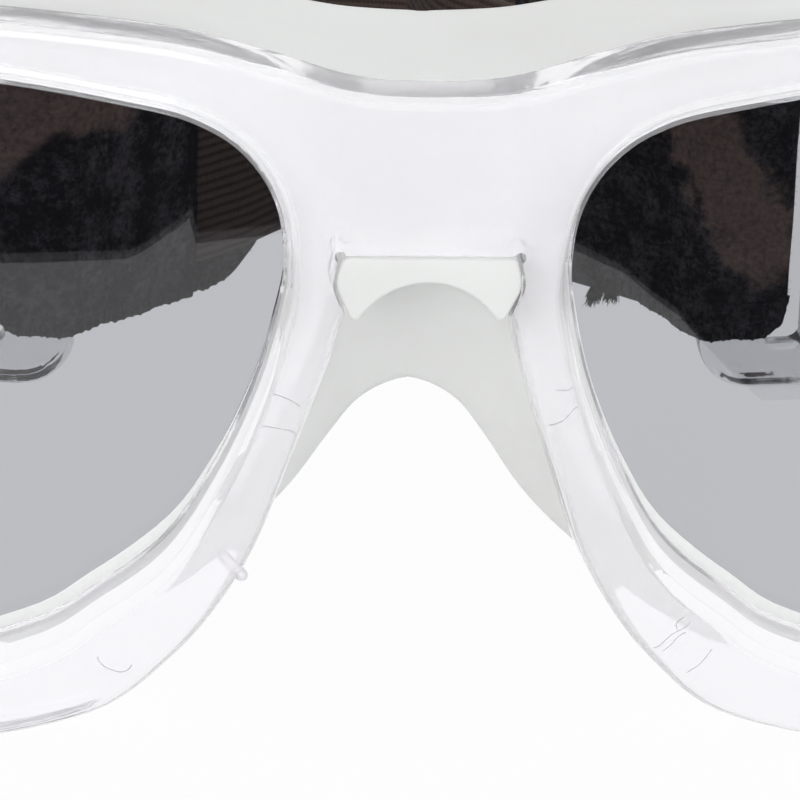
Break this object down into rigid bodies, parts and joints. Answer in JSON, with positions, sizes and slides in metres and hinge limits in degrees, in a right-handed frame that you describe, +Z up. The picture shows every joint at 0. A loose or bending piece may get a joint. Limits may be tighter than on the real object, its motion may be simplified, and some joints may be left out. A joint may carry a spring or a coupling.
{
  "type": "sports goggles",
  "caption": "Clear wrap-round sports goggles with tinted lenses, a silicone face liner, short folding temples and an elastic strap closed by fabric ends.",
  "frame": {"origin": "centre of the footprint, level with the flats under the rims that the goggles stand on", "axes": "+X to the right as seen from the front (the wearer's left), +Y from the lenses back towards the wearer, +Z up; left and right in the node names are as seen from the front"},
  "size_m": [0.1382, 0.136, 0.0531],
  "materials": {
    "clear_shell": "clear moulded polycarbonate, polished",
    "tinted_lens": "grey tinted polycarbonate, polished",
    "silicone": "off-white translucent silicone, satin",
    "steel": "turned steel",
    "brass_insert": "plain brass",
    "nylon": "natural nylon",
    "velour": "black fuzzy loop fabric with overlocked edges",
    "hook_tape": "black hook tape",
    "elastic": "black ribbed woven elastic"
  },
  "bodies": {
    "frame": {"frame_front": "clear_shell", "lens_left": "tinted_lens", "lens_right": "tinted_lens", "face_liner": "silicone", "hinge_screw_left": "steel", "hinge_screw_right": "steel", "hinge_nut_left": "brass_insert", "hinge_nut_right": "brass_insert", "hinge_washers_left": "nylon", "hinge_washers_right": "nylon", "strap_band": "elastic"},
    "temple_left": {"temple_left": "clear_shell", "strap_end_left": "velour", "hook_patch_left": "hook_tape"},
    "temple_right": {"temple_right": "clear_shell", "strap_end_right": "velour", "hook_patch_right": "hook_tape"}
  },
  "joints": [
    {"name": "temple_left_hinge", "type": "hinge", "parent": "frame", "child": "temple_left", "pos_m": [-0.06542, -0.03808, 0.03462], "axis": [0, 0, 1], "range_deg": [0, 95], "deforming": ["strap_band"]},
    {"name": "temple_right_hinge", "type": "hinge", "parent": "frame", "child": "temple_right", "pos_m": [0.06542, -0.03808, 0.03462], "axis": [0, 0, -1], "range_deg": [0, 95], "deforming": ["strap_band"]}
  ]
}
